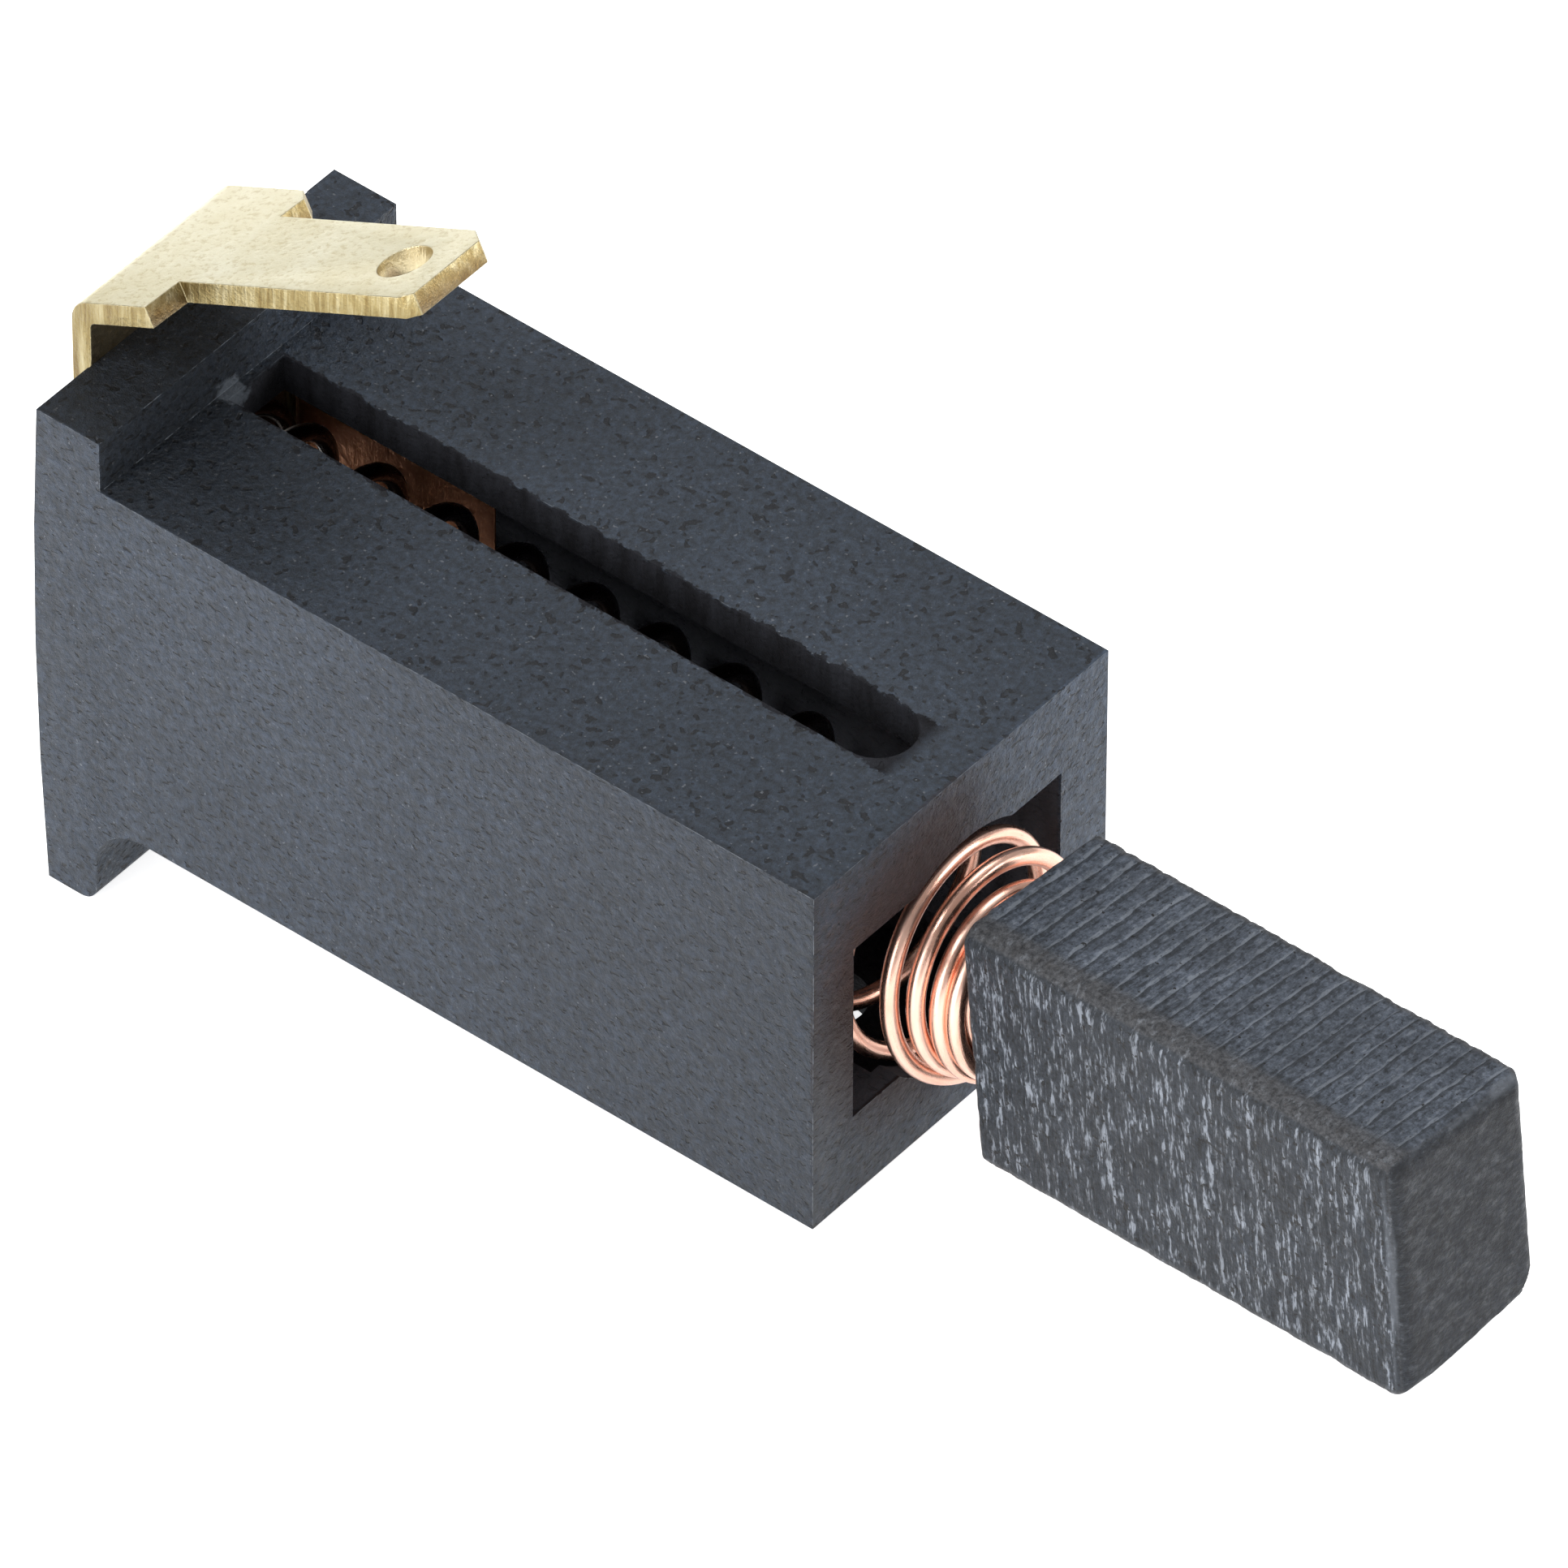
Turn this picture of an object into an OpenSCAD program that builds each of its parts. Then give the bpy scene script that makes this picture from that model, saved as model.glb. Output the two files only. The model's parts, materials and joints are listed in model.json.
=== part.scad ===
// Carbon brush in its moulded holder: box guide, folded blade terminal, tapered spring, carbon block.
// X runs from the rear flange to the carbon, Z is up. Zero is the flange's front plane on the guide axis.

/* [Holder] */
// Width of the moulded box (mm)
body_w = 10.5; // [9:0.05:12]
// Height of the moulded box (mm)
body_h = 10.36; // [9:0.02:12]
// Length of the box in front of the flange (mm)
body_l = 20.95; // [16:0.05:26]
// Thickness of the rear flange (mm)
flange_t = 1.85; // [1.4:0.05:2.5]
// How far the flange stands above the box (mm)
flange_up = 1.48; // [1:0.02:2]
// How far the flange hangs below the box (mm)
flange_down = 2.87; // [2:0.01:3.5]
// Bow of the flange's rear face beside the sheet (mm)
bow = 0.22; // [0:0.01:0.4]
// How much lower the box is at the flange than at its mouth (mm)
draft = 0.12; // [0:0.01:0.2]

/* [Guide] */
// Width of the mouth and guide (mm)
guide_w = 7.41; // [6.9:0.01:7.8]
// Height of the mouth and guide (mm)
guide_h = 5.25; // [5:0.01:5.6]
// Sideways place of the guide centre (mm)
guide_y = -0.115; // [-0.3:0.005:0.3]
// Height of the guide centre (mm)
guide_z = -0.065; // [-0.3:0.005:0.3]
// Width of the spring channel (mm)
channel_w = 4.9; // [4.8:0.05:5.4]
// Height of the spring channel (mm)
channel_h = 8.2; // [7.8:0.05:8.4]
// Thickness of the lip that ends the channel (mm)
lip_t = 0.6; // [0.4:0.05:1]
// Width of the slots in roof and floor (mm)
slot_w = 1.93; // [1.6:0.01:2.4]

/* [Terminal] */
// Sheet thickness (mm)
sheet_t = 0.58; // [0.4:0.01:0.65]
// Width of the blade (mm)
blade_w = 2.9; // [2.6:0.05:3]
// Width of the strip (mm)
strip_w = 5.15; // [4.2:0.05:5.5]
// Angle of the blade above level (degrees)
blade_tilt = 26.9; // [0:0.1:45]
// Diameter of the hole in the blade (mm)
blade_hole = 1.35; // [1.1:0.05:1.6]

/* [Spring] */
// Wire diameter (mm)
wire_d = 0.45; // [0.3:0.01:0.46]
// Radius of the wire's centre line inside the holder (mm)
coil_r = 2.83; // [2.7:0.01:2.85]
// Radius of the narrow turn just inside the mouth (mm)
waist_r = 2.4; // [2.3:0.05:2.6]
// Radius of the turn that stands in the mouth (mm)
mouth_r = 2.98; // [2.9:0.01:3]
// Radius of the neck in front of the mouth (mm)
neck_r = 2.1; // [2.1:0.01:2.15]
// Radius of the widest turn behind the block (mm)
grip_r = 2.36; // [2.34:0.01:2.4]
// Radius of the last turn, round the block's boss (mm)
tail_r = 1.56; // [1.55:0.01:1.58]
// Advance per turn inside the holder (mm)
open_pitch = 2.1; // [2.08:0.01:2.1]
// Advance per turn just inside the mouth (mm)
spread_pitch = 2.5; // [2.45:0.01:2.5]
// Advance per turn through the mouth (mm)
mouth_pitch = 1.5; // [1.48:0.01:1.5]
// Advance per turn where the turns lie packed (mm)
packed_pitch = 0.44; // [0.43:0.01:0.45]
// Lean of the free turns away from the blade's far side (mm)
lean_side = 0.2; // [0:0.05:0.4]
// Lean of the free turns' tops towards the holder (mm)
lean_back = 0.3; // [0:0.05:0.4]

/* [Carbon] */
// Length of the block (mm)
carbon_l = 13.12; // [8:0.02:16]
// Width of the block (mm)
carbon_w = 4.42; // [4:0.01:4.8]
// Height of the block (mm)
carbon_h = 6.66; // [6:0.01:6.9]

/* [Hidden] */
$fn = 64;
rim = 0.02;
half_w = body_w / 2;
half_h = body_h / 2;
slot_y = -0.045;
slot_back = 0.25;
slot_front = body_l - 1.45;
floor_slot_front = body_l - 2.85;
plate_x = -flange_t - sheet_t;
strip_y = -3.33;
blade_y = -2.20;
plate_low = -4.6;
bend_r = 0.8;
bend_z = 7.79;
blade_end = 9.7;
tongue_h = 4.2;
tongue_y = guide_y + guide_w / 2;
tongue_end = 4.25;
coil_y = 0.05;
coil_sides = 6;
coil_step = 20;
seat_x = -22.59;
turn_from = -11.75;
turn_to = 4.75;

// Pose of the pulled-out block: rear face centre from the holder's front face, then turns about X, Y, Z.
carbon_at = [body_l + 2.27, 0, -0.35];
carbon_turn = [-0.56, -6.39, -5.11];

function made(n, from, to) = max(from, min(to, n)) - from;
// Place of turn n along X from the front face: each stretch of turns has its own pitch.
function along(n) = seat_x + 0.2 * made(n, turn_from, -11.25) + 0.9 * made(n, -11.25, -10.25)
    + open_pitch * made(n, -10.25, -3.25) + spread_pitch * made(n, -3.25, -1.5)
    + mouth_pitch * made(n, -1.5, 0.5) + packed_pitch * made(n, 0.5, 3.5);
function radius(n) = lookup(n, [
    [-3.25, coil_r], [-1.5, waist_r], [0, mouth_r], [1, mouth_r - 0.15],
    [2, neck_r], [3, grip_r], [turn_to, tail_r]
]);
function height(n) = lookup(n, [[-3.25, -0.12], [-1.5, -0.45], [0.25, -0.22], [3, -0.48]]);
function turn(n) = [along(n), radius(n), height(n)];
function eased(n) = (turn(n - 0.25) + turn(n - 0.125) + turn(n) + turn(n + 0.125) + turn(n + 0.25)) / 5;
function freed(a) = max(0, min(1, a / 180 + 1));
function coil_point(a) = let (c = eased(a / 360)) [
    body_l + c[0] + freed(a) * (lean_side * cos(a) - lean_back * sin(a)),
    coil_y + c[1] * cos(a),
    c[2] + c[1] * sin(a)
];
function unit(v) = v / norm(v);
function coil_along(a) = unit(coil_point(a + 4) - coil_point(a - 4));
function coil_out(a) = let (t = coil_along(a), n = [0, cos(a), sin(a)]) unit(n - t * (n * t));
function coil_ring(a) = let (p = coil_point(a), n = coil_out(a), b = cross(coil_along(a), n), r = wire_d / 2)
    [for (k = [0 : coil_sides - 1]) let (w = k * 360 / coil_sides) p + r * (n * cos(w) + b * sin(w))];

function arc(x, y, r, from, to) = [
    for (k = [0 : 8])
        let (a = from + (to - from) * k / 8)
            [x + r * cos(a), y + r * sin(a)]
];

// Side outline of box and flange: bowed rear edge, lower lip rounded in front, filleted under the box.
module side_outline() {
    low = -half_h - flange_down;
    high = half_h + flange_up;
    mid = (low + high) / 2;
    rise = (high - low) / 2;
    rear = [for (t = [-1 : 0.25 : 1]) [-flange_t - rim - bow * (1 - t * t), mid + t * rise]];
    front = [[0, high], [0, half_h], [body_l, half_h], [body_l, -half_h]];
    under = arc(1.1, -half_h - draft - 1.5, 1.5, 90, 180);
    lip = arc(-0.9, low + 0.5, 0.5, 0, -90);
    polygon(concat(rear, front, under, lip));
}

module slot(x0, x1, z0, z1) {
    r = slot_w / 2;
    translate([x0, slot_y - r, z0])
        cube([x1 - r - x0, slot_w, z1 - z0]);
    translate([x1 - r, slot_y, z0])
        cylinder(r = r, h = z1 - z0);
}

// Moulded box with rear flange, rectangular guide, spring channel and two long slots.
module holder() {
    color([0.15, 0.16, 0.18])
    difference() {
        translate([0, half_w, 0])
            rotate([90, 0, 0])
                linear_extrude(body_w)
                    side_outline();
        translate([-flange_t - 1, guide_y - guide_w / 2, guide_z - guide_h / 2])
            cube([body_l + flange_t + 2, guide_w, guide_h]);
        translate([-flange_t - 1, -channel_w / 2, -channel_h / 2])
            cube([body_l + flange_t + 1 - lip_t, channel_w, channel_h]);
        translate([body_l - lip_t - rim, 0.14, -0.1])
            rotate([0, 90, 0])
                cylinder(r = coil_r + 0.32, h = lip_t + 1);
        translate([body_l - lip_t - rim, 0.12, -0.5])
            rotate([0, 90, 0])
                cylinder(r = coil_r + 0.32, h = lip_t + 1);
        slot(slot_back, slot_front, half_h - 2, half_h + 1);
        slot(slot_back, floor_slot_front, -half_h - 1, -half_h + 2);
        translate([-flange_t - 1, strip_y - 0.1, plate_low - 0.1])
            cube([1, tongue_y + sheet_t + 0.2 - strip_y, 15]);
        translate([-flange_t - 1, tongue_y - rim, -tongue_h / 2 - 0.05])
            cube([flange_t + 1 + tongue_end + 0.05, sheet_t + rim + 0.01, tongue_h + 0.1]);
    }
}

// Outline of shoulders and blade on the sheet, with 0 along it where the bend ends.
module blade_outline() {
    out = 0.2;
    polygon([
        [-1, strip_y - out], [1.99, strip_y - out], [2, strip_y], [2.08, blade_y],
        [blade_end - 0.34, blade_y], [blade_end + 0.02, blade_y + 0.22],
        [blade_end + 0.02, blade_y + blade_w - 0.42], [blade_end - 0.5, blade_y + blade_w],
        [2.7, blade_y + blade_w], [2.76, strip_y + strip_w - 0.35], [2.4, strip_y + strip_w],
        [2.39, strip_y + strip_w + out], [-1, strip_y + strip_w + out]
    ]);
}

// Side view of the sheet: rear plate, bend, and blade sloping up.
module sheet_profile() {
    lean = 90 - blade_tilt;
    bend_x = plate_x + bend_r;
    turn = [for (k = [0 : 10]) lean * k / 10];
    out_arc = [for (a = turn) [bend_x - bend_r * cos(a), bend_z + bend_r * sin(a)]];
    in_r = bend_r - sheet_t;
    in_arc = [for (k = [10 : -1 : 0]) [bend_x - in_r * cos(turn[k]), bend_z + in_r * sin(turn[k])]];
    along = blade_end * [cos(blade_tilt), sin(blade_tilt)];
    polygon(concat([[plate_x, plate_low]], out_arc, [out_arc[10] + along, in_arc[0] + along], in_arc,
        [[plate_x + sheet_t, plate_low]]));
}

module bend_ring(r) {
    intersection() {
        difference() {
            circle(r = r);
            circle(r = r - sheet_t);
        }
        children();
    }
}

// One folded sheet: rear plate with a tongue into the guide, strip over the flange, blade with a hole.
module terminal() {
    lean = 90 - blade_tilt;
    color([0.82, 0.72, 0.42])
    union() {
        difference() {
            translate([0, strip_y + strip_w, 0])
                rotate([90, 0, 0])
                    linear_extrude(strip_w)
                        sheet_profile();
            translate([plate_x + bend_r * (1 - cos(lean)), 0, bend_z + bend_r * sin(lean)])
                rotate([0, -blade_tilt, 0])
                    translate([0, 0, -1.5]) {
                        linear_extrude(2.5)
                            difference() {
                                translate([1, -6])
                                    square([12, 12]);
                                blade_outline();
                            }
                        translate([blade_end - 1.47, blade_y + blade_w / 2, 0])
                            cylinder(d = blade_hole, h = 2.5);
                    }
        }
        translate([plate_x, strip_y + strip_w - 0.4, -tongue_h / 2])
            cube([sheet_t, tongue_y - strip_y - strip_w + 0.1, tongue_h]);
        translate([plate_x + bend_r, tongue_y - 0.3, -tongue_h / 2])
            linear_extrude(tongue_h)
                bend_ring(bend_r)
                    translate([-2, 0])
                        square(2);
        translate([plate_x + bend_r, tongue_y, -tongue_h / 2])
            cube([tongue_end - plate_x - bend_r, sheet_t, tongue_h]);
    }
}

// Round-wire spring, open inside the holder, closed and tapered where it grips the block.
module spring() {
    turns = [for (a = [turn_from * 360 : coil_step : turn_to * 360]) a];
    rings = len(turns);
    points = [for (a = turns) each coil_ring(a)];
    sides = [
        for (i = [0 : rings - 2])
            for (k = [0 : coil_sides - 1])
                let (m = (k + 1) % coil_sides, p = i * coil_sides, q = p + coil_sides)
                    each [[p + k, q + k, q + m], [p + k, q + m, p + m]]
    ];
    first = [for (k = [0 : coil_sides - 1]) k];
    last = [for (k = [coil_sides - 1 : -1 : 0]) (rings - 1) * coil_sides + k];
    color([0.85, 0.53, 0.4])
    polyhedron(points, concat(sides, [first, last]));
}

module rounded(l, h, r_rear, r_low, r_high) {
    hull() {
        translate([r_rear, -h / 2 + r_rear])
            circle(r = r_rear);
        translate([r_rear, h / 2 - r_rear])
            circle(r = r_rear);
        translate([l - r_low, -h / 2 + r_low])
            circle(r = r_low);
        translate([l - r_high, h / 2 - r_high])
            circle(r = r_high);
    }
}

// Block of carbon, bevelled along one upper edge, worn slantwise at the tip, with a boss for the spring.
module carbon() {
    color([0.27, 0.28, 0.3])
    translate(carbon_at)
        rotate(carbon_turn)
            union() {
                difference() {
                    intersection() {
                        translate([0, carbon_w / 2, 0])
                            rotate([90, 0, 0])
                                linear_extrude(carbon_w)
                                    rounded(carbon_l, carbon_h, 0.12, 0.3, 0.4);
                        translate([0, 0, -carbon_h / 2])
                            linear_extrude(carbon_h)
                                rounded(carbon_l, carbon_w, 0.12, 0.3, 0.25);
                    }
                    translate([carbon_l - 0.15, -carbon_w / 2, -carbon_h / 2])
                        rotate([0, 44.7, 8.2])
                            translate([0, -8, -4])
                                cube([4, 16, 8]);
                    translate([-1, -carbon_w / 2 + 0.23, carbon_h / 2])
                        rotate([-45, 0, 0])
                            translate([0, -2, -1.5])
                                cube([carbon_l + 2, 2, 3]);
                }
                translate([-0.8, 0, 0])
                    rotate([0, 90, 0])
                        cylinder(r = 1.3, h = 0.9);
            }
}

holder();
terminal();
spring();
carbon();
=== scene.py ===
"""Looks for the sprung carbon brush: moulded holder, brass blade, copper spring, graphite block."""

import json
import math

import bmesh
import bpy
import numpy as np
from mathutils import Matrix, Vector

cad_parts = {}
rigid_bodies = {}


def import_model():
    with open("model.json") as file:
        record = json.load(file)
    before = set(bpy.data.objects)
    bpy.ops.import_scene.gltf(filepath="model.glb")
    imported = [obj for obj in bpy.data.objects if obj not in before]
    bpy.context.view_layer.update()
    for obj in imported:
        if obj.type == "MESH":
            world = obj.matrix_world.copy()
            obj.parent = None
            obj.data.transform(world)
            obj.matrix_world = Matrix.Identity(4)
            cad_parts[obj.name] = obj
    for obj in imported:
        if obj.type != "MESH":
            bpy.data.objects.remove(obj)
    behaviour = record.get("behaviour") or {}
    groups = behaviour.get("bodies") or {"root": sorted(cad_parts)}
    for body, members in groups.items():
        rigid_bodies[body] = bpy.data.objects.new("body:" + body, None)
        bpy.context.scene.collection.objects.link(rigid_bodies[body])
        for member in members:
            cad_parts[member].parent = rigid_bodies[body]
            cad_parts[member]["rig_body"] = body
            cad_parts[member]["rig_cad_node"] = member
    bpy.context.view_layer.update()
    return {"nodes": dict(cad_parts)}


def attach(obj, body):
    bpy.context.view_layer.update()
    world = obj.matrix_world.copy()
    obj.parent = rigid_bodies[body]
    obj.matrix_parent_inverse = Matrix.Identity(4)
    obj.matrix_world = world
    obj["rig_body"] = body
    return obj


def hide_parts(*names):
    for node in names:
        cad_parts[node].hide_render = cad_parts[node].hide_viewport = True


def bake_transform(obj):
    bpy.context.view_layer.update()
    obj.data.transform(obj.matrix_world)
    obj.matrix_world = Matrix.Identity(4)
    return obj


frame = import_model()

MM = 0.001

# Sizes and places are in mm; X runs out of the holder's mouth, Y to its far side and Z up.
FACE_X = 20.95  # the holder's front face, from the flange plane
WIRE_R = 0.225
WIRE_SIDES = 24
COIL_TURNS = (-11.75, 4.75)  # turn 0 lies in the mouth
COIL_START = -22.59  # the coil's rear end, from the front face
COIL_Y = 0.05
COIL_PITCHES = (  # first turn, last turn, mm along per turn
    (-11.75, -11.25, 0.2),
    (-11.25, -10.25, 0.9),
    (-10.25, -3.25, 2.1),
    (-3.25, -1.5, 2.5),
    (-1.5, 0.5, 1.5),
    (0.5, 3.5, 0.44),
)
CARBON_SIZE = (13.27, 4.47, 6.76)
CARBON_AT = np.array([FACE_X + 2.27, 0, -0.35])
CARBON_TURN = [math.radians(v) for v in (-0.56, -6.39, -5.11)]
SECTION_RADII = (0.14, 0.5, 0.14, 0.2)
REAR_ROUND, TIP_ROUND = 0.14, 0.50
RIDGE_HEIGHT, GROOVE_HEIGHT, PIT_DEPTH = 0.022, 0.016, 0.05
BOSS_R = 1.3
HOLDER_EDGE, BLADE_EDGE = 0.09, 0.11
BLADE_HOLE = (0.005479, -0.00075, 0.011968)  # in m, as the materials read it
FLOOR_TILT = math.radians(7.49)
FLOOR_HALF = 900.0
FLOOR_DROP = 5.20


# ---------------------------------------------------------------- shapes


def grid_quads(rows, cols):
    """Quads between neighbouring rows of a rows x cols grid whose last column joins the first."""
    i = np.arange(rows - 1)[:, None]
    j = np.arange(cols)[None, :]
    k = (j + 1) % cols
    corners = [i * cols + j, i * cols + k, (i + 1) * cols + k, (i + 1) * cols + j]
    return np.stack(corners, -1).reshape(-1, 4)


def surface(name, points_mm, quads, smooth=True):
    """A mesh object at the origin from an array of points in mm and an array of quads."""
    mesh = bpy.data.meshes.new(name)
    mesh.from_pydata((points_mm * MM).tolist(), [], quads.tolist())
    mesh.validate()
    mesh.polygons.foreach_set("use_smooth", np.full(len(mesh.polygons), smooth))
    piece = bpy.data.objects.new(name, mesh)
    bpy.context.scene.collection.objects.link(piece)
    return piece


def put_attribute(piece, name, values):
    """Stores one vector per point on a piece."""
    layer = piece.data.attributes.new(name, "FLOAT_VECTOR", "POINT")
    layer.data.foreach_set("vector", np.asarray(values, np.float32).ravel())


def hash_noise(p, seed):
    """Smooth value noise, -1 to 1: each corner of a unit lattice has a number hashed from its place and the
    seed, and these are blended by 3t^2 - 2t^3 along each axis."""
    q = np.floor(p).astype(np.int64)
    t = p - q
    t = t * t * (3 - 2 * t)
    total = 0.0
    for corner in range(8):
        c = np.array([corner & 1, corner >> 1 & 1, corner >> 2 & 1])
        g = q + c
        h = g[..., 0] * 73856093 ^ g[..., 1] * 19349663 ^ g[..., 2] * 83492791
        h = (h ^ seed * 2654435761) & 0xFFFFFFFF
        h = (h ^ h >> 13) * 1274126177 & 0xFFFFFFFF
        h = (h ^ h >> 16) & 0xFFFF
        w = np.prod(np.where(c == 1, t, 1 - t), axis=-1)
        total = total + w * (h / 32767.5 - 1)
    return total


def rough(p, size, seed):
    """Sum of three value noises, each half the size and half the height of the last."""
    return sum(0.5**k * hash_noise(p / size * 2**k, seed + k) for k in range(3)) / 2


def made(n, first, last):
    """Turns wound between two turn numbers, up to turn n."""
    return np.clip(n, first, last) - first


def turn(n):
    """Place along X from the front face, radius and centre height at turn number n.
    The place grows by the pitch of each stretch of turns; the others run straight between stations."""
    along = COIL_START
    for first, last, pitch in COIL_PITCHES:
        along = along + pitch * made(n, first, last)
    # the turns just inside the mouth are set back, which keeps them clear of it when the spring twists
    along = along + np.interp(n, (-3, -1.5, -0.75, 0), (0, -0.1, -0.2, 0))
    stops = (-3.25, -1.5, -0.8, -0.1, 0.4, 0.8, 1.1, 2, 3, 4.75)
    radius = np.interp(n, stops, (2.83, 2.4, 2.92, 2.90, 2.72, 2.93, 2.80, 2.1, 2.36, 1.56))
    height = np.interp(n, (-3.25, -0.4, 0.25, 0.75, 3), (-0.12, -0.45, -0.25, -0.38, -0.48))
    return np.stack([along, radius, height], -1)


def eased(n):
    """The values of a turn averaged over half a turn in five places."""
    return sum(turn(n + d) for d in (-0.25, -0.125, 0, 0.125, 0.25)) / 5


def tube(path, radius, sides):
    """Round wire along a path: rings of sides points square to the path, shrunk to closed ends."""
    along = np.gradient(path, axis=0)
    along /= np.linalg.norm(along, axis=1)[:, None]
    out = path - np.array([0, path[:, 1].mean(), path[:, 2].mean()])
    out[:, 0] = 0
    out -= along * (out * along).sum(1)[:, None]
    out /= np.linalg.norm(out, axis=1)[:, None]
    side = np.cross(along, out)
    a = np.linspace(0, 2 * math.pi, sides, endpoint=False)
    ring = np.cos(a)[None, :, None] * out[:, None] + np.sin(a)[None, :, None] * side[:, None]
    first, last = path[:1, None], path[-1:, None]
    rows = [
        first + 0 * ring[:1],
        first + 0.7 * radius * ring[:1] - 0.1 * radius * along[:1, None],
        path[:, None] + radius * ring,
        last + 0.7 * radius * ring[-1:] + 0.1 * radius * along[-1:, None],
        last + 0 * ring[-1:] + 0.1 * radius * along[-1:, None],
    ]
    return np.concatenate(rows)


def make_spring():
    """Round wire on a coil: at turn n, cosine of n across and sine of n up, times the radius of eased(n).
    From the mouth outwards the turns lean, by a cosine and a sine of the same angle along X."""
    n = np.linspace(*COIL_TURNS, 1500)
    a = 2 * math.pi * n
    free = np.clip(2 * n + 1, 0, 1)
    along, r, height = eased(n).T
    along = FACE_X + along + free * (0.2 * np.cos(a) - 0.3 * np.sin(a))
    path = np.stack([along, COIL_Y + r * np.cos(a), height + r * np.sin(a)], -1)
    rings = tube(path, WIRE_R, WIRE_SIDES)
    rows, m = rings.shape[:2]
    piece = surface("spring_wire", rings.reshape(-1, 3), grid_quads(rows, m)[:, ::-1])
    # each point keeps its length along the wire and its direction round it, for the draw lines
    length = np.concatenate([[0], np.cumsum(np.linalg.norm(np.diff(path, axis=0), axis=1))])
    length = np.concatenate([length[:1]] * 2 + [length] + [length[-1:]] * 2)
    around = 2 * math.pi * np.linspace(0, 1, m, endpoint=False)
    wire = np.stack(np.broadcast_arrays(length[:, None], np.cos(around)[None], np.sin(around)[None]), -1)
    put_attribute(piece, "wire", wire.reshape(-1, 3))
    return piece


def turn_matrix(ax, ay, az):
    """Turns about X, then Y, then Z."""
    m = Matrix.Rotation(az, 3, "Z") @ Matrix.Rotation(ay, 3, "Y") @ Matrix.Rotation(ax, 3, "X")
    return np.array(m)


def rounded_section(half_w, half_h, radii, per_side, per_corner):
    """Closed outline in Y and Z of a rectangle: quarter circles, each corner with its own radius from the
    +Y +Z one round, and evenly spaced points on the straight sides between them."""
    out, signs = [], [(1, 1), (-1, 1), (-1, -1), (1, -1)]
    middle = [np.array([sy * (half_w - r), sz * (half_h - r)]) for (sy, sz), r in zip(signs, radii)]
    for k in range(4):
        a = np.radians(90 * k + np.linspace(0, 90, per_corner, endpoint=False))
        out.append(middle[k] + radii[k] * np.stack([np.cos(a), np.sin(a)], -1))
        end = np.radians(90 * k + 90)
        way = np.array([np.cos(end), np.sin(end)])
        p, q = middle[k] + radii[k] * way, middle[(k + 1) % 4] + radii[(k + 1) % 4] * way
        out.append(p + (q - p) * np.linspace(0, 1, per_side, endpoint=False)[:, None])
    return np.concatenate(out)


def carbon_rows():
    """For each ring along the block: its place, how far it is drawn in, and its size, 0 to 1, on the ends.
    Both ends are fans of rings, then a quarter circle; the rings between are evenly spaced."""
    length = CARBON_SIZE[0]
    a, b = np.radians(np.linspace(0, 90, 6)), np.radians(np.linspace(0, 90, 14))
    fan = np.linspace(0, 1, 22)
    straight = np.linspace(REAR_ROUND, length - TIP_ROUND, 262)[1:-1]
    rear, tip = 0 * fan[:-1], 0 * fan[1:]
    rear_x, tip_x = REAR_ROUND * (1 - np.cos(a)), length - TIP_ROUND * (1 - np.sin(b))
    rear_in, tip_in = REAR_ROUND * (1 - np.sin(a)), TIP_ROUND * (1 - np.cos(b))
    x = np.concatenate([rear, rear_x, straight, tip_x, length + tip])
    inset = np.concatenate([REAR_ROUND + rear, rear_in, 0 * straight, tip_in, TIP_ROUND + tip])
    grow = np.concatenate([fan[:-1], 1 + 0 * a, 1 + 0 * straight, 1 + 0 * b, 1 - fan[1:]])
    return x, inset, grow


def carbon_out(local):
    """Which way each point faces, with a length over 1 near an edge: along each axis it grows evenly from 0
    to 1 between 0.35 and 0.1 mm before a face, and before the rear face between 0.25 and 0.05 mm."""
    length, w, h = CARBON_SIZE
    x, y, z = local.T
    tip, rear = np.clip((x - (length - 0.35)) / 0.25, 0, 1), np.clip((0.25 - x) / 0.2, 0, 1)
    side = np.sign(y) * np.clip((np.abs(y) - (w / 2 - 0.35)) / 0.25, 0, 1)
    top = np.sign(z) * np.clip((np.abs(z) - (h / 2 - 0.35)) / 0.25, 0, 1)
    return np.stack([tip - rear, side, top], -1)


def saw_marks(local, top, side, tip):
    """Height added at each point: two sine waves along the top, value noise in upright streaks on the
    sides, pits where a finer noise is low, and fine roughness all over."""
    wave = local[:, 0] / 0.56 + 0.25 * hash_noise(local / (2.5, 1.8, 2.5), 5) + 0.03 * local[:, 1]
    ridge = np.sin(2 * math.pi * wave) + 0.5 * np.sin(4.6 * math.pi * wave + 3 * hash_noise(local / 2.2, 8))
    streak = hash_noise(local / (0.13, 1.2, 1.5), 12) + 0.7 * hash_noise(local / (0.24, 1.2, 3.0), 13)
    pits = np.minimum(hash_noise(local / (0.13, 0.16, 0.24), 17) + 0.42, 0)
    lift = top * ridge * RIDGE_HEIGHT * (1 + 0.5 * hash_noise(local / 1.3, 9)) + side * streak * GROOVE_HEIGHT
    return lift + (side * PIT_DEPTH + 0.015) * pits + 0.02 * rough(local, 0.3, 21) * (1 - 0.5 * tip)


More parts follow.
